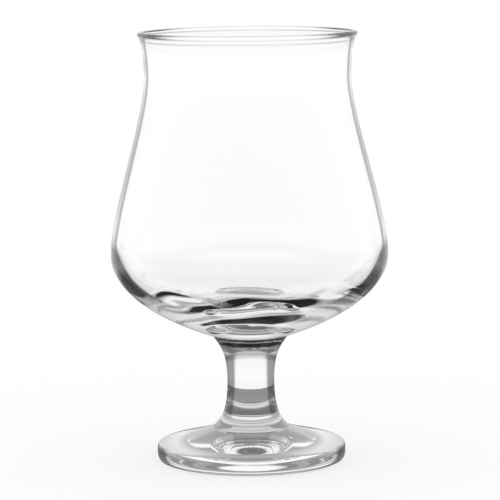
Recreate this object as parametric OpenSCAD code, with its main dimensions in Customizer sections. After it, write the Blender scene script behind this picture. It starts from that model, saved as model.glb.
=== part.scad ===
// Stemmed chalice beer glass: a blown bowl welded to a solid stem on a pressed round foot.
// Lengths are in millimetres. The axis of the glass is Z, and it stands on the plane z = 0.

/* [Bowl] */
// Height of the bowl, from its weld on the stem to the top of the rim
bowl_height = 105.9; // [95:0.1:120]
// Outside diameter of the bead at the rim
rim_diameter = 76.2; // [74:0.1:84]
// Thickness of the fire-polished bead at the rim
bead_thickness = 1.9; // [1.6:0.1:2.6]
// Outside diameter at the narrowest part of the neck
neck_diameter = 71.6; // [64:0.1:74]
// Drop from the top of the rim to the narrowest part of the neck
neck_drop = 15.7; // [10:0.1:24]
// Wall thickness at the neck
neck_wall = 1.3; // [0.9:0.1:1.6]
// Outside diameter at the belly
belly_diameter = 96.6; // [84:0.1:110]
// Rise from the weld on the stem to the widest part of the belly
belly_rise = 28.8; // [22:0.1:38]
// Wall thickness at the belly
belly_wall = 2.8; // [1.8:0.1:4]
// Thickness of the heavy base, from the weld to the bowl's floor
base_thickness = 9.3; // [7:0.1:14]
// Slope of the underside where it leaves the stem, in degrees
underside_slope = 18.5; // [12:0.5:26]

/* [Stem] */
// Length of the stem between its two welds
stem_length = 32.4; // [24:0.1:60]
// Diameter of the weld between the stem and the bowl
bowl_weld_diameter = 26.4; // [20:0.1:32]
// Diameter of the weld between the stem and the foot
foot_weld_diameter = 26.4; // [20:0.1:32]
// Diameter at the narrowest part of the stem
stem_diameter = 16.4; // [12:0.1:19]
// Rise from the weld on the foot to the narrowest part of the stem
stem_waist_rise = 16.7; // [12:0.1:21]
// Slope of the stem's side where it reaches the bowl, in degrees
stem_top_slope = 55; // [40:1:75]
// Slope of the stem's side at the rounded collar where it reaches the foot, in degrees
stem_bottom_slope = 70; // [55:1:80]

/* [Foot] */
// Height of the foot, from the table to its weld on the stem
foot_height = 11.7; // [9:0.1:16]
// Outside diameter of the foot
foot_diameter = 65.8; // [54:0.1:80]
// Height of the widest part of the foot's rounded edge
foot_edge_height = 4.1; // [3:0.1:6]
// Fall of the foot's top where it leaves the stem, in degrees
foot_fall = 18; // [5:1:20]
// Outside diameter of the flat ring that the glass stands on
standing_diameter = 59.4; // [48:0.1:62]
// Width of the flat ring that the glass stands on
standing_width = 3; // [1:0.1:6]
// Depth of the shallow hollow under the foot
hollow_depth = 1.6; // [0.5:0.1:3]

/* [Hidden] */

// Clear glass
glass_colour = [0.86, 0.89, 0.9, 0.45];
// Facets round the axis
$fn = 180;
// Straight steps in each curve of a profile
curve_steps = 20;

// Heights of the two welds, the rim's top and the stations of the profile
foot_weld_z = foot_height;
bowl_weld_z = foot_weld_z + stem_length;
rim_z = bowl_weld_z + bowl_height;
belly_z = bowl_weld_z + belly_rise;
neck_z = rim_z - neck_drop;
floor_z = bowl_weld_z + base_thickness;
stem_waist_z = foot_weld_z + stem_waist_rise;

// Stations on the outside, as [radius, height]
foot_weld = [foot_weld_diameter / 2, foot_weld_z];
stem_waist = [stem_diameter / 2, stem_waist_z];
bowl_weld = [bowl_weld_diameter / 2, bowl_weld_z];
belly = [belly_diameter / 2, belly_z];
neck = [neck_diameter / 2, neck_z];
foot_edge = [foot_diameter / 2, foot_edge_height];
standing_edge = [standing_diameter / 2, 0];

// The bead at the rim, and the places on it where the two faces of the wall run in, in degrees
bead_radius = bead_thickness / 2;
bead_centre = [rim_diameter / 2 - bead_radius, rim_z - bead_radius];
bead_outer_angle = -38;
bead_inner_angle = 168;

// How far each curve keeps to the direction of its ends, as shares of the span it crosses
underside_share = 0.66;
belly_low_share = 0.4;
belly_high_share = 0.23;
neck_low_share = 0.225;
neck_high_share = 0.43;
bead_share = 0.13;
floor_share = 0.45;
heel_share = 0.79;
inner_belly_share = 0.15;
stem_end_share = 0.29;
stem_waist_share = 0.6;
collar_share = 0.15;
stem_low_share = 0.88;
foot_top_share = 0.94;
foot_shoulder_share = 0.52;
foot_heel_share = 0.55;
standing_share = 0.95;
hollow_share = 0.6;
// Rise of the belly's widest place inside the bowl above the outside one, of the way to the neck
inner_rise_share = 0.04;

// Stations on the inside
inner_neck = neck - [neck_wall, 0];
inner_belly = [belly[0] - belly_wall, belly_z + inner_rise_share * (neck_z - belly_z)];
bowl_floor = [0, floor_z];
hollow_edge = standing_edge - [standing_width, 0];
hollow_top = [0, hollow_depth];

up = [0, 1];
outward = [1, 0];

// A unit direction at an angle above the horizontal
function heading(angle) = [cos(angle), sin(angle)];

// A point on the bead at an angle round its centre
function on_bead(angle) = bead_centre + bead_radius * heading(angle);

// Points of a smooth curve after its start, drawn towards the two handles between its ends
function curve(start, first, second, end) = [
    for (i = [1 : curve_steps])
        let (t = i / curve_steps, u = 1 - t)
        u * u * u * start + 3 * u * u * t * first + 3 * u * t * t * second + t * t * t * end
];

// Points round the bead after its start, over the top of the rim
function bead_arc() = [
    for (i = [1 : curve_steps])
        on_bead(bead_outer_angle + (bead_inner_angle - bead_outer_angle) * i / curve_steps)
];

// Outside of the bowl, from its weld to the bead
function bowl_outside() =
    let (
        reach = belly[0] - bowl_weld[0],
        height = neck_z - belly_z,
        lip = on_bead(bead_outer_angle)
    )
    concat(
        [bowl_weld],
        curve(bowl_weld, bowl_weld + underside_share * reach * heading(underside_slope),
            belly - belly_low_share * belly_rise * up, belly),
        curve(belly, belly + belly_high_share * height * up,
            neck - neck_low_share * height * up, neck),
        curve(neck, neck + neck_high_share * neck_drop * up,
            lip - bead_share * neck_drop * heading(bead_outer_angle + 90), lip)
    );

// Inside of the bowl, from the bead to the middle of its floor
function bowl_inside() =
    let (
        lip = on_bead(bead_inner_angle),
        height = inner_neck[1] - inner_belly[1],
        depth = inner_belly[1] - floor_z
    )
    concat(
        curve(lip, lip - bead_share * neck_drop * heading(bead_inner_angle - 90),
            inner_neck + neck_high_share * neck_drop * up, inner_neck),
        curve(inner_neck, inner_neck - neck_low_share * height * up,
            inner_belly + inner_belly_share * height * up, inner_belly),
        curve(inner_belly, inner_belly - heel_share * depth * up,
            bowl_floor + floor_share * inner_belly[0] * outward, bowl_floor)
    );

// Side of the stem, from the foot up to the bowl
function stem_side() =
    let (
        low = stem_waist_rise,
        high = stem_length - stem_waist_rise
    )
    concat(
        [foot_weld],
        curve(foot_weld, foot_weld + collar_share * low * heading(180 - stem_bottom_slope),
            stem_waist - stem_low_share * low * up, stem_waist),
        curve(stem_waist, stem_waist + stem_waist_share * high * up,
            bowl_weld - stem_end_share * high * heading(stem_top_slope), bowl_weld)
    );

// Outside of the foot, from the middle of its hollow round the edge to the stem
function foot_side() =
    let (
        top_reach = foot_edge[0] - foot_weld[0],
        edge_reach = foot_edge[0] - standing_edge[0],
        top_drop = foot_weld_z - foot_edge_height
    )
    concat(
        [hollow_top],
        curve(hollow_top, hollow_top + hollow_share * hollow_edge[0] * outward,
            hollow_edge - (1 - hollow_share) * hollow_edge[0] * outward, hollow_edge),
        [standing_edge],
        curve(standing_edge, standing_edge + standing_share * edge_reach * outward,
            foot_edge - foot_heel_share * foot_edge_height * up, foot_edge),
        curve(foot_edge, foot_edge + foot_shoulder_share * top_drop * up,
            foot_weld + foot_top_share * top_reach * heading(-foot_fall), foot_weld)
    );

// A solid of revolution from a profile of [radius, height] points that ends on the axis
module turned(profile) {
    rotate_extrude() polygon(profile);
}

// Blown bowl: a beaded rim, a wall that thickens to the belly and a heavy base
module bowl() {
    color(glass_colour) turned(concat([[0, bowl_weld_z]], bowl_outside(), bead_arc(), bowl_inside()));
}

// Solid stem, waisted between its two welds, with a rounded collar on the foot
module stem() {
    color(glass_colour) turned(concat([[0, foot_weld_z]], stem_side(), [[0, bowl_weld_z]]));
}

// Pressed foot: a sloping top, a rounded edge and a standing ring round a shallow hollow
module foot() {
    color(glass_colour) turned(concat(foot_side(), [[0, foot_weld_z]]));
}

bowl();
stem();
foot();
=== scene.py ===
"""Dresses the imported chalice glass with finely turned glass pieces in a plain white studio.

Profiles are worked out in millimetres as [radius, height] pairs and turned about the Z axis.
"""

import math
import random

import bmesh
import bpy
import numpy as np
from mathutils import Matrix, Vector, noise


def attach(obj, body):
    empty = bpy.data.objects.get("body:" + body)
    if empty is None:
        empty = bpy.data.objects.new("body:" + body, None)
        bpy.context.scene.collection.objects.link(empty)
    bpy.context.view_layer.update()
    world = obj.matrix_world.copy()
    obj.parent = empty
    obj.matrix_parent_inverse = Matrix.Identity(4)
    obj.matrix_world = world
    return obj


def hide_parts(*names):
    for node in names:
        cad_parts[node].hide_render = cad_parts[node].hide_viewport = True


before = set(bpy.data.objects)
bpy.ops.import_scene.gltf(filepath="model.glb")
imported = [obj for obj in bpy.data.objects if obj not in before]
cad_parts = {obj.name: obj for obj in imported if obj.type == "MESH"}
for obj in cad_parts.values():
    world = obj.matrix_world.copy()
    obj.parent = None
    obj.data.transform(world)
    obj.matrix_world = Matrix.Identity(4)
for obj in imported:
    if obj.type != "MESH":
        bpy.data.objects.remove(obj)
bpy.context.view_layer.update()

# One millimetre in metres. Lengths below are in millimetres, and two within NEAR are taken as equal
MM = 0.001
NEAR = 0.001

# Sizes of the glass, in millimetres and degrees, as in the part
BOWL_HEIGHT = 105.9
RIM_DIAMETER = 76.2
BEAD_THICKNESS = 1.9
NECK_DIAMETER = 71.6
NECK_DROP = 15.7
NECK_WALL = 1.3
BELLY_DIAMETER = 96.6
BELLY_RISE = 28.8
BELLY_WALL = 2.8
BASE_THICKNESS = 9.3
UNDERSIDE_SLOPE = 18.5
STEM_LENGTH = 32.4
BOWL_WELD_DIAMETER = 26.4
FOOT_WELD_DIAMETER = 26.4
STEM_DIAMETER = 16.4
STEM_WAIST_RISE = 16.7
STEM_TOP_SLOPE = 55.0
STEM_BOTTOM_SLOPE = 70.0
FOOT_HEIGHT = 11.7
FOOT_DIAMETER = 65.8
FOOT_EDGE_HEIGHT = 4.1
FOOT_FALL = 18.0
STANDING_DIAMETER = 59.4
STANDING_WIDTH = 3.0
HOLLOW_DEPTH = 1.6
# The places on the rim's bead where the two faces of the wall run in
BEAD_OUTER_ANGLE = -38.0
BEAD_INNER_ANGLE = 168.0

# How far each curve keeps to the direction of its ends, as shares of the span it crosses
UNDERSIDE_SHARE = 0.66
BELLY_LOW_SHARE = 0.4
BELLY_HIGH_SHARE = 0.23
NECK_LOW_SHARE = 0.225
NECK_HIGH_SHARE = 0.43
BEAD_SHARE = 0.13
FLOOR_SHARE = 0.45
HEEL_SHARE = 0.79
INNER_BELLY_SHARE = 0.15
STEM_END_SHARE = 0.29
STEM_WAIST_SHARE = 0.6
COLLAR_SHARE = 0.15
STEM_LOW_SHARE = 0.88
FOOT_TOP_SHARE = 0.94
FOOT_SHOULDER_SHARE = 0.52
FOOT_HEEL_SHARE = 0.55
STANDING_SHARE = 0.95
HOLLOW_SHARE = 0.6
# Rise of the belly's widest place inside the bowl above the outside one, of the way to the neck
INNER_RISE_SHARE = 0.04

# Fineness of the turned pieces: steps round the axis, along a curve and round the bead
TURN_STEPS = 192
CURVE_STEPS = 40
BEAD_STEPS = 20
# Number of curves that draw the inside of the bowl
INSIDE_CURVES = 3
# Edges that fold by this much or more stay sharp, in degrees
SHARP_ANGLE = 30.0
# Material slots after the first: the weld's on every piece, and the bead's and the inside's on the bowl
WELD_SLOT = 1
BEAD_SLOT = 2
INSIDE_SLOT = 3

# Gentle waves in the floor of the blown bowl: their height and length, their share by radius and
# the place in the noise that they start from
WAVE_HEIGHT = 1.0
WAVE_LENGTH = 18.0
WAVE_RADII = (14.0, 24.0, 38.0, 45.0)
WAVE_SHARES = (0.1, 1.0, 1.0, 0.0)
WAVE_START = Vector((30.3, 50.7, 70.1))
# Seed bubbles in the stem's glass, in a ring under its weld to the bowl and close to its side. Each strays
# from its even place by up to a share of the step to the next, and takes its radius, its drop under the
# weld and its depth from the side between two values
SEED_COUNT = 84
SEED_STRAY_SHARE = 0.45
SEED_RADII = (0.1, 0.24)
SEED_DROP = (0.25, 1.2)
SEED_DEPTH = (0.35, 1.1)
# How often a bubble's mesh is divided, and the start of the random draws
SEED_FINENESS = 2
RANDOM_START = 7
# The fine seam that the mould leaves across the foot's rounded edge, front and back: its height, half
# its width and the radii between which it rises
SEAM_HEIGHT = 0.07
SEAM_HALF_WIDTH = 0.35
SEAM_RADII = (29.0, 31.0)

# The camera of the photograph and how far it sees, in millimetres, degrees and pixels
CAMERA_DISTANCE = 1000.0
CAMERA_HEIGHT = 197.9
CAMERA_PITCH = 7.07
CAMERA_ROLL = -0.6
CAMERA_YAW = -0.01
CAMERA_REACH = 100000.0
FRAME_PIXELS = 500
FOCAL_PIXELS = 2896.0
SENSOR_WIDTH = 36.0

# Refractive index of the glass
GLASS_INDEX = 1.52
# The painted shade on the edge of each glass, where it is seen edge on: how far it is turned from the eye
# where the shade starts and where it is full, from 0 face on to 1 edge on, and its grey
BOWL_PAINTED_EDGE_SHADE = (0.69, 0.74, 0.07)
INSIDE_PAINTED_EDGE_SHADE = (0.9, 1.0, 0.5)
BEAD_PAINTED_EDGE_SHADE = (0.22, 0.48, 0.01)
STEM_PAINTED_EDGE_SHADE = (0.22, 0.34, 0.12)
FOOT_PAINTED_EDGE_SHADE = (0.5, 0.64, 0.05)
# The painted shade on the heavy base starts sooner and goes to another grey, from the first height down to
# the second
BASE_PAINTED_SHADE_SHIFT = 0.14
BASE_PAINTED_SHADE_HEIGHTS = (79.0, 70.0)
BASE_PAINTED_SHADE_GREY = 0.01
# Above the base, the painted edge shade of the wall fades again towards the outline, by a share of it
WALL_PAINTED_SHADE_FADE = (0.74, 0.9)
WALL_PAINTED_SHADE_FADE_SHARE = 0.9
# Faces tilted from upright lose the painted edge shade between these two tilts, from 0 upright to 1 level
PAINTED_SHADE_TILT = (0.6, 0.9)
STEM_PAINTED_SHADE_TILT = (0.3, 0.55)
BEAD_PAINTED_SHADE_TILT = (0.75, 0.95)

# Unevenness in the polish: its length and depth on blown and on pressed glass, the most roughness that
# it brings and the detail of its noise
BLOWN_POLISH = (24.0, 0.012)
PRESSED_POLISH = (7.0, 0.02)
POLISH_ROUGHNESS = 0.02
POLISH_DETAIL = 3.0

# The floor, from its middle to its sides, and how much of the glass's shade shows on it
FLOOR_REACH = 20000.0
SHADOW_SHARE = 0.3
# The studio's round cards, which only the glass sees: a ceiling, a mat of painted shadow under and round the
# foot and a shade that shows in reflections, these two just above the floor. Each ring is a distance from the
# card's middle and the grey there, and the last one is the card's edge. The ceiling's middle lies in front of
# the glass
CEILING_HEIGHT = 1500.0
CEILING_FORWARD = 1000.0
CEILING_RINGS = ((0.0, 0.15), (2000.0, 0.15), (3500.0, 0.42), (10000.0, 0.95))
SHADOW_CARDS_LIFT = 0.2
# The mat's rings: painted shadow under and round the foot, lighter in one ring
PAINTED_SHADOW_MAT_RINGS = (
    (0.0, 0.17), (8.0, 0.17), (12.0, 0.13), (17.0, 0.14), (22.0, 0.45), (25.0, 0.75),
    (28.5, 0.6), (31.0, 0.36), (34.0, 0.4), (38.0, 0.45), (42.0, 1.0),
)
SHADE_RINGS = ((0.0, 1.0), (26.5, 1.0), (28.0, 0.27), (200.0, 0.25), (300.0, 1.0))
# An upright collar of grey card round the foot, between two heights, which only the glass sees too: painted
# shade in the glass
COLLAR_RADIUS = 37.0
COLLAR_HEIGHTS = (5.0, 17.5)
COLLAR_SHADE_GREY = 0.25
CARD_SIDES = 64
# The most bounces of a ray of light, and the most of them that may be reflections
MOST_BOUNCES = 48
GLOSSY_BOUNCES = 11

WHITE = (1.0, 1.0, 1.0, 1.0)
UP = np.array([0.0, 1.0])
OUTWARD = np.array([1.0, 0.0])

# Stations of the profiles on the outside and the inside of the glass
foot_weld = np.array([FOOT_WELD_DIAMETER / 2, FOOT_HEIGHT])
stem_waist = np.array([STEM_DIAMETER / 2, FOOT_HEIGHT + STEM_WAIST_RISE])
bowl_weld = np.array([BOWL_WELD_DIAMETER / 2, FOOT_HEIGHT + STEM_LENGTH])
belly = np.array([BELLY_DIAMETER / 2, bowl_weld[1] + BELLY_RISE])
rim_z = bowl_weld[1] + BOWL_HEIGHT
neck = np.array([NECK_DIAMETER / 2, rim_z - NECK_DROP])
foot_edge = np.array([FOOT_DIAMETER / 2, FOOT_EDGE_HEIGHT])
standing_edge = np.array([STANDING_DIAMETER / 2, 0.0])
hollow_edge = standing_edge - STANDING_WIDTH * OUTWARD
hollow_top = np.array([0.0, HOLLOW_DEPTH])
bowl_floor = np.array([0.0, bowl_weld[1] + BASE_THICKNESS])
inner_neck = neck - NECK_WALL * OUTWARD
inner_belly = belly - BELLY_WALL * OUTWARD + INNER_RISE_SHARE * (neck[1] - belly[1]) * UP
bead_centre = np.array([(RIM_DIAMETER - BEAD_THICKNESS) / 2, rim_z - BEAD_THICKNESS / 2])


def heading(angle):
    """A unit direction at an angle above the horizontal."""
    turn = math.radians(angle)
    return np.array([math.cos(turn), math.sin(turn)])


def curve(start, first, second, end):
    """Points of a smooth curve after its start, drawn towards the two handles between its ends."""
    t = np.linspace(0, 1, CURVE_STEPS + 1)[1:, None]
    u = 1 - t
    return u**3 * start + 3 * u * u * t * first + 3 * u * t * t * second + t**3 * end


def on_bead(angle):
    """A point on the rim's bead at an angle round its centre."""
    return bead_centre + BEAD_THICKNESS / 2 * heading(angle)


def bowl_profile():
    """The bowl, from the middle of its weld up the outside, over the rim and down to its floor."""
    reach = belly[0] - bowl_weld[0]
    rise = neck[1] - belly[1]
    inner_rise = inner_neck[1] - inner_belly[1]
    depth = inner_belly[1] - bowl_floor[1]
    lip = on_bead(BEAD_OUTER_ANGLE)
    inner_lip = on_bead(BEAD_INNER_ANGLE)
    bead_angles = np.linspace(BEAD_OUTER_ANGLE, BEAD_INNER_ANGLE, BEAD_STEPS + 1)[1:]
    return np.concatenate([
        [[0.0, bowl_weld[1]], bowl_weld],
        curve(bowl_weld, bowl_weld + UNDERSIDE_SHARE * reach * heading(UNDERSIDE_SLOPE),
              belly - BELLY_LOW_SHARE * BELLY_RISE * UP, belly),
        curve(belly, belly + BELLY_HIGH_SHARE * rise * UP, neck - NECK_LOW_SHARE * rise * UP, neck),
        curve(neck, neck + NECK_HIGH_SHARE * NECK_DROP * UP,
              lip - BEAD_SHARE * NECK_DROP * heading(BEAD_OUTER_ANGLE + 90), lip),
        [on_bead(angle) for angle in bead_angles],
        curve(inner_lip, inner_lip - BEAD_SHARE * NECK_DROP * heading(BEAD_INNER_ANGLE - 90),
              inner_neck + NECK_HIGH_SHARE * NECK_DROP * UP, inner_neck),
        curve(inner_neck, inner_neck - NECK_LOW_SHARE * inner_rise * UP,
              inner_belly + INNER_BELLY_SHARE * inner_rise * UP, inner_belly),
        curve(inner_belly, inner_belly - HEEL_SHARE * depth * UP,
              bowl_floor + FLOOR_SHARE * inner_belly[0] * OUTWARD, bowl_floor),
    ])


def stem_profile():
    """The stem, from the middle of its weld on the foot up its side to the bowl."""
    low = STEM_WAIST_RISE
    high = STEM_LENGTH - STEM_WAIST_RISE
    return np.concatenate([
        [[0.0, foot_weld[1]], foot_weld],
        curve(foot_weld, foot_weld + COLLAR_SHARE * low * heading(180 - STEM_BOTTOM_SLOPE),
              stem_waist - STEM_LOW_SHARE * low * UP, stem_waist),
        curve(stem_waist, stem_waist + STEM_WAIST_SHARE * high * UP,
              bowl_weld - STEM_END_SHARE * high * heading(STEM_TOP_SLOPE), bowl_weld),
        [[0.0, bowl_weld[1]]],
    ])


def foot_profile():
    """The foot, from the middle of its hollow round its edge to the middle of its weld."""
    top_reach = foot_edge[0] - foot_weld[0]
    edge_reach = foot_edge[0] - standing_edge[0]
    top_drop = foot_weld[1] - foot_edge[1]
    return np.concatenate([
        [hollow_top],
        curve(hollow_top, hollow_top + HOLLOW_SHARE * hollow_edge[0] * OUTWARD,
              hollow_edge - (1 - HOLLOW_SHARE) * hollow_edge[0] * OUTWARD, hollow_edge),
        [standing_edge],
        curve(standing_edge, standing_edge + STANDING_SHARE * edge_reach * OUTWARD,
              foot_edge - FOOT_HEEL_SHARE * FOOT_EDGE_HEIGHT * UP, foot_edge),
        curve(foot_edge, foot_edge + FOOT_SHOULDER_SHARE * top_drop * UP,
              foot_weld + FOOT_TOP_SHARE * top_reach * heading(-FOOT_FALL), foot_weld),
        [[0.0, foot_weld[1]]],
    ])


def about_axis(radius, angle, height):
    """A place in metres, from its distance to the axis, its angle round it and its height."""
    reach = radius * MM
    return reach * math.cos(angle), reach * math.sin(angle), height * MM


def floor_wave(place):
    """How far a place on the inside of the bowl stands off its true curve, upwards."""
    share = np.interp(math.hypot(place.x, place.y) / MM, WAVE_RADII, WAVE_SHARES)
    return WAVE_HEIGHT * MM * share * noise.noise(place / (WAVE_LENGTH * MM) + WAVE_START)


def even_angles():
    """Even angles round a ring, with nothing standing out."""
    return [(2 * math.pi * k / TURN_STEPS, 0.0) for k in range(TURN_STEPS)]


def seam_angles(radius):
    """Angles round a ring and how far each stands out, with the mould's two seams drawn in finely.

    An even angle that is close to a seam's middle makes way for it.
    """
    ring = even_angles()
    ridge = SEAM_HEIGHT * np.interp(radius, SEAM_RADII, (0.0, 1.0))
    for middle in (math.pi / 2, 3 * math.pi / 2):
        near = min(SEAM_HALF_WIDTH / radius, math.pi / TURN_STEPS)
        ring = [(angle, out) for angle, out in ring if abs(angle - middle) > near / 2]
        ring += [(middle - near, 0.0), (middle, ridge), (middle + near, 0.0)]
    return sorted(ring)


def ring_of(bm, radius, height, seam):
    """The vertices of one point of a profile: a ring, or a single one on the axis."""
    if radius < NEAR:
        return [bm.verts.new(about_axis(0, 0, height))]
    angles = seam_angles(radius) if seam else even_angles()
    return [bm.verts.new(about_axis(radius + out, angle, height)) for angle, out in angles]


def slot_of(face, step, weld_heights, zones):
    """The material slot of a face: the weld's where it lies flat at a weld, and else its zone's."""
    heights = [vert.co.z / MM for vert in face.verts]
    flat = max(heights) - min(heights) < NEAR
    if flat and any(abs(heights[0] - weld) < NEAR for weld in weld_heights):
        return WELD_SLOT
    return max([slot for first, slot in zones if step >= first], default=0)


def turned(profile, weld_heights, seam=False, wavy_rings=0, zones=()):
    """A closed mesh of revolution, with the floor's waves in so many of its last rings.

    The zones are pairs of a first step along the profile and the material slot from there on.
    """
    bm = bmesh.new()
    rings = [ring_of(bm, radius, height, seam) for radius, height in profile]
    for ring in rings[len(rings) - wavy_rings:]:
        for vert in ring:
            vert.co.z += floor_wave(vert.co)
    for step, (low, high) in enumerate(zip(rings, rings[1:])):
        count = max(len(low), len(high))
        for k in range(count):
            after = (k + 1) % count
            corners = [low[k % len(low)], low[after % len(low)], high[after % len(high)], high[k % len(high)]]
            face = bm.faces.new(list(dict.fromkeys(corners)))
            face.smooth = True
            face.material_index = slot_of(face, step, weld_heights, zones)
    bmesh.ops.recalc_face_normals(bm, faces=bm.faces)
    for edge in bm.edges:
        edge.smooth = edge.calc_face_angle(0) < math.radians(SHARP_ANGLE)
    return bm


def add_seeds(bm):
    """Seed bubbles: tiny voids in a ring close to the stem's side, with their faces turned inwards."""
    side = stem_profile()[CURVE_STEPS + 1:-1]
    chance = random.Random(RANDOM_START)
    for k in range(SEED_COUNT):
        stray = chance.uniform(-SEED_STRAY_SHARE, SEED_STRAY_SHARE)
        height = bowl_weld[1] - chance.uniform(*SEED_DROP)
        reach = np.interp(height, side[:, 1], side[:, 0]) - chance.uniform(*SEED_DEPTH)
        place = Matrix.Translation(about_axis(reach, 2 * math.pi * (k + stray) / SEED_COUNT, height))
        size = chance.uniform(*SEED_RADII) * MM
        seed = bmesh.ops.create_icosphere(bm, subdivisions=SEED_FINENESS, radius=size, matrix=place)
        faces = {face for vert in seed["verts"] for face in vert.link_faces}
        for face in faces:
            face.smooth = True
        bmesh.ops.reverse_faces(bm, faces=list(faces))


def bowl_mesh():
    """The bowl, whose bead and inside have glass of their own, with waves in its floor."""
    profile = bowl_profile()
    inside_from = len(profile) - 1 - INSIDE_CURVES * CURVE_STEPS
    zones = ((inside_from - BEAD_STEPS, BEAD_SLOT), (inside_from, INSIDE_SLOT))
    return turned(profile, [bowl_weld[1]], wavy_rings=CURVE_STEPS, zones=zones)


def stem_mesh():
    """The stem, with its seed bubbles."""
    bm = turned(stem_profile(), [foot_weld[1], bowl_weld[1]])
    add_seeds(bm)
    return bm


def foot_mesh():
    """The foot, with the mould's seam."""
    return turned(foot_profile(), [foot_weld[1]], seam=True)


def placed(name, bm):
    """A new object in the scene from a finished mesh."""
    mesh = bpy.data.meshes.new(name)
    bm.to_mesh(mesh)
    bm.free()
    piece = bpy.data.objects.new(name, mesh)
    bpy.context.scene.collection.objects.link(piece)
    return piece


def grey(level):
    """A plain grey, from black at 0 to white at 1."""
    return level, level, level, 1.0


def new_material(name):
    """A new material and its main shader."""
    material = bpy.data.materials.new(name)
    material.use_nodes = True
    return material, material.node_tree.nodes["Principled BSDF"]


def feed(material, socket, value):
    """Links a socket to another node's output, or sets it to a number or a colour."""
    if isinstance(value, bpy.types.NodeSocket):
        material.node_tree.links.new(value, socket)
    else:
        socket.default_value = value


def node(material, kind, **values):
    """A new node with some of its inputs linked or set."""
    new = material.node_tree.nodes.new(kind)
    for name, value in values.items():
        feed(material, new.inputs[name.replace("_", " ")], value)
    return new


def show(material, output):
    """Makes a shader's output the material's surface."""
    feed(material, material.node_tree.nodes["Material Output"].inputs["Surface"], output)


def smooth_range(material, source, start, end):
    """A value that rises smoothly from 0 at start to 1 at end."""
    rise = node(material, "ShaderNodeMapRange", Value=source, From_Min=start, From_Max=end)
    rise.interpolation_type = "SMOOTHSTEP"
    return rise.outputs["Result"]


def combined(material, operation, first, second=0.0):
    """The result of a sum, a product or another operation of the Math node."""
    both = node(material, "ShaderNodeMath")
    both.operation = operation
    for socket, value in zip(both.inputs, (first, second)):
        feed(material, socket, value)
    return both.outputs["Value"]


def remainder(material, share):
    """What a share leaves of the whole."""
    return combined(material, "SUBTRACT", 1.0, share)


def mixed(material, share, first, second):
    """A colour that goes from the first to the second as the share rises from 0 to 1."""
    mix = node(material, "ShaderNodeMix")
    mix.data_type = "RGBA"
    for socket, value in (("Factor", share), ("A", first), ("B", second)):
        feed(material, mix.inputs[socket], value)
    return mix.outputs["Result"]


def z_of(material, kind, output):
    """The Z of what a new node of a kind gives out."""
    source = node(material, kind)
    return node(material, "ShaderNodeSeparateXYZ", Vector=source.outputs[output]).outputs["Z"]


def add_polish(material, shader, length, depth):
    """A faint unevenness in the polish, as a low bump and a little roughness from one noise."""
    place = node(material, "ShaderNodeTexCoord").outputs["Object"]
    scale = 1 / (length * MM)
    uneven = node(material, "ShaderNodeTexNoise", Vector=place, Scale=scale, Detail=POLISH_DETAIL)
    bump = node(material, "ShaderNodeBump", Distance=depth * MM, Height=uneven.outputs["Fac"])
    feed(material, shader.inputs["Normal"], bump.outputs["Normal"])
    rough = combined(material, "MULTIPLY", uneven.outputs["Fac"], POLISH_ROUGHNESS)
    feed(material, shader.inputs["Roughness"], rough)


def painted_shade_base_share(material):
    """Where the base's painted shade holds: 1 on the bowl's heavy base and 0 on the wall above it."""
    high, low = BASE_PAINTED_SHADE_HEIGHTS
    return smooth_range(material, z_of(material, "ShaderNodeTexCoord", "Object"), high * MM, low * MM)


def painted_shade_kept_share(material, facing, base):
    """How much of the painted edge shade stays: all of it on the base, and less towards the wall's outline.
    """
    outer = combined(material, "MULTIPLY", smooth_range(material, facing, *WALL_PAINTED_SHADE_FADE), WALL_PAINTED_SHADE_FADE_SHARE)
    return remainder(material, combined(material, "MULTIPLY", outer, remainder(material, base)))


def glass_material(name, painted_shade_range, polish, tilt_range=PAINTED_SHADE_TILT, heavy_base=False):
    """Clear glass with painted shade in its colour where its upright faces are seen edge on."""
    start, full, level = painted_shade_range
    material, shader = new_material(name)
    shader.inputs["IOR"].default_value = GLASS_INDEX
    shader.inputs["Transmission Weight"].default_value = 1.0
    add_polish(material, shader, *polish)
    facing = node(material, "ShaderNodeLayerWeight").outputs["Facing"]
    tilt = combined(material, "ABSOLUTE", z_of(material, "ShaderNodeNewGeometry", "Normal"))
    upright = remainder(material, smooth_range(material, tilt, *tilt_range))
    dark = grey(level)
    if heavy_base:
        base = painted_shade_base_share(material)
        upright = combined(material, "MULTIPLY", upright, painted_shade_kept_share(material, facing, base))
        facing = combined(material, "ADD", facing, combined(material, "MULTIPLY", base, BASE_PAINTED_SHADE_SHIFT))
        dark = mixed(material, base, dark, grey(BASE_PAINTED_SHADE_GREY))
    # The painted edge shade goes into the base colour: white face on, its grey edge on
    edge = combined(material, "MULTIPLY", smooth_range(material, facing, start, full), upright)
    feed(material, shader.inputs["Base Color"], mixed(material, edge, WHITE, dark))
    return material


def weld_material(name):
    """A fused face inside the glass, which shows nothing."""
    material, shader = new_material(name)
    shader.inputs["Alpha"].default_value = 0.0
    return material


def paper_material(name):
    """White paper that shows a part of the shade on it and is otherwise as white as the sky."""
    material, shader = new_material(name)
    shader.inputs["Base Color"].default_value = WHITE
    shader.inputs["Roughness"].default_value = 1.0
    shader.inputs["Specular IOR Level"].default_value = 0.0
    white = node(material, "ShaderNodeEmission")
    path = node(material, "ShaderNodeLightPath").outputs
    seen = combined(material, "MAXIMUM", path["Is Camera Ray"], path["Is Transmission Ray"])
    seen = combined(material, "MAXIMUM", seen, path["Is Glossy Ray"])
    both = node(material, "ShaderNodeMixShader", Fac=combined(material, "MULTIPLY", seen, 1 - SHADOW_SHARE))
    feed(material, both.inputs[1], shader.outputs["BSDF"])
    feed(material, both.inputs[2], white.outputs["Emission"])
    show(material, both.outputs["Shader"])
    return material


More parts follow.
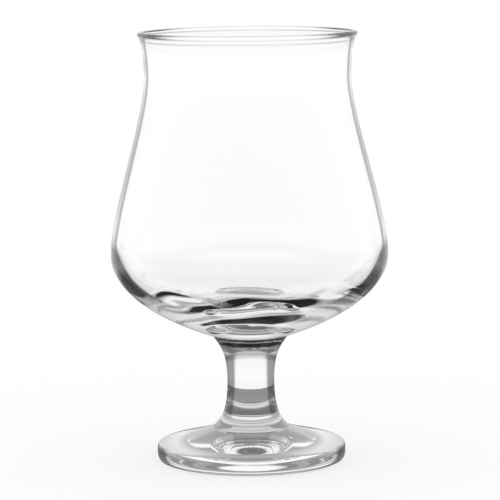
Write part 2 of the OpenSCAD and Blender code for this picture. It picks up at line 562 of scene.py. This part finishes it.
def ring_colour(material, rings):
    """A grey that changes with the distance from a card's middle."""
    radius = rings[-1][0]
    distance = node(material, "ShaderNodeVectorMath")
    distance.operation = "LENGTH"
    feed(material, distance.inputs[0], node(material, "ShaderNodeTexCoord").outputs["Object"])
    share = combined(material, "DIVIDE", distance.outputs["Value"], radius * MM)
    ramp = node(material, "ShaderNodeValToRGB", Fac=share)
    stops = ramp.color_ramp.elements
    while len(stops) < len(rings):
        stops.new(1.0)
    for stop, (reach, level) in zip(stops, rings):
        stop.position = reach / radius
        stop.color = grey(level)
    return ramp.outputs["Color"]


def card_material(name, grey_level=1.0, rings=()):
    """An evenly lit card, of one grey or of grey rings."""
    material, _ = new_material(name)
    glow = node(material, "ShaderNodeEmission", Color=grey(grey_level))
    show(material, glow.outputs["Emission"])
    if rings:
        feed(material, glow.inputs["Color"], ring_colour(material, rings))
    return material


def dress_glass():
    """The three glass pieces, in place of their nodes."""
    weld = weld_material("fused_weld")
    # Each glass gets its own painted edge shade
    bead = glass_material("bowl_bead_glass", BEAD_PAINTED_EDGE_SHADE, BLOWN_POLISH, BEAD_PAINTED_SHADE_TILT)
    inside = glass_material("bowl_inside_glass", INSIDE_PAINTED_EDGE_SHADE, BLOWN_POLISH)
    outside = glass_material("bowl_glass", BOWL_PAINTED_EDGE_SHADE, BLOWN_POLISH, heavy_base=True)
    pieces = (
        ("bowl", bowl_mesh(), (outside, weld, bead, inside)),
        ("stem", stem_mesh(), (glass_material("stem_glass", STEM_PAINTED_EDGE_SHADE, PRESSED_POLISH, STEM_PAINTED_SHADE_TILT), weld)),
        ("foot", foot_mesh(), (glass_material("foot_glass", FOOT_PAINTED_EDGE_SHADE, PRESSED_POLISH), weld)),
    )
    for node_name, mesh, materials in pieces:
        piece = placed(f"glass_{node_name}", mesh)
        for material in materials:
            piece.data.materials.append(material)
        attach(piece, "root")
        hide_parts(node_name)


def make_camera():
    """The photograph's camera, in front of the glass on -Y."""
    data = bpy.data.cameras.new("camera")
    data.sensor_width = SENSOR_WIDTH
    data.lens = SENSOR_WIDTH * FOCAL_PIXELS / FRAME_PIXELS
    data.clip_end = CAMERA_REACH * MM
    camera = bpy.data.objects.new("camera", data)
    level = Matrix.Rotation(math.radians(90 - CAMERA_PITCH), 4, "X")
    yaw = Matrix.Rotation(math.radians(CAMERA_YAW), 4, "Z")
    roll = Matrix.Rotation(math.radians(CAMERA_ROLL), 4, "Z")
    place = Matrix.Translation((0, -CAMERA_DISTANCE * MM, CAMERA_HEIGHT * MM))
    camera.matrix_world = place @ yaw @ level @ roll
    bpy.context.scene.collection.objects.link(camera)
    bpy.context.scene.camera = camera


def make_studio():
    """A white floor under an even white sky."""
    scene = bpy.context.scene
    scene.view_settings.view_transform = "Standard"
    world = bpy.data.worlds.new("studio")
    world.use_nodes = True
    world.node_tree.nodes["Background"].inputs["Color"].default_value = WHITE
    scene.world = world
    bm = bmesh.new()
    bmesh.ops.create_grid(bm, x_segments=1, y_segments=1, size=FLOOR_REACH * MM)
    floor = placed("floor", bm)
    floor.data.materials.append(paper_material("white_paper"))


def make_card(name, height, rings, rays, forward=0.0):
    """A round card of grey rings that one kind of the glass's rays sees."""
    bm = bmesh.new()
    bmesh.ops.create_circle(bm, cap_ends=True, segments=CARD_SIDES, radius=rings[-1][0] * MM)
    card = placed(name, bm)
    card.location = Vector((0, -forward, height)) * MM
    card.data.materials.append(card_material(f"{name}_grey", rings=rings))
    hide_from_others(card, rays)


def make_collar():
    """The upright ring of card round the foot, whose grey is painted shade in the glass."""
    low, high = COLLAR_HEIGHTS
    radius = COLLAR_RADIUS * MM
    bm = bmesh.new()
    bmesh.ops.create_cone(bm, segments=CARD_SIDES, radius1=radius, radius2=radius, depth=(high - low) * MM)
    collar = placed("collar", bm)
    collar.location.z = (low + high) / 2 * MM
    collar.data.materials.append(card_material("collar_shade_grey", COLLAR_SHADE_GREY))
    hide_from_others(collar, "transmission")


def hide_from_others(card, rays):
    """Shows a card to one kind of the glass's rays alone: transmission or glossy."""
    card.visible_camera = False
    card.visible_diffuse = False
    card.visible_shadow = False
    card.visible_transmission = rays == "transmission"
    card.visible_glossy = rays == "glossy"


def make_cards():
    """All the cards round the glass."""
    make_card("ceiling", CEILING_HEIGHT, CEILING_RINGS, "transmission", CEILING_FORWARD)
    # The mat is painted shadow under the foot, which the glass shows
    make_card("painted_shadow_mat", SHADOW_CARDS_LIFT, PAINTED_SHADOW_MAT_RINGS, "transmission")
    make_card("shade", SHADOW_CARDS_LIFT, SHADE_RINGS, "glossy")
    # The collar puts painted shade into the glass's base and stem
    make_collar()


def set_bounces():
    """How often light may be reflected in the glass and pass through it."""
    cycles = bpy.context.scene.cycles
    cycles.max_bounces = MOST_BOUNCES
    cycles.glossy_bounces = GLOSSY_BOUNCES
    cycles.transmission_bounces = MOST_BOUNCES
    cycles.transparent_max_bounces = MOST_BOUNCES


dress_glass()
make_camera()
make_studio()
make_cards()
set_bounces()
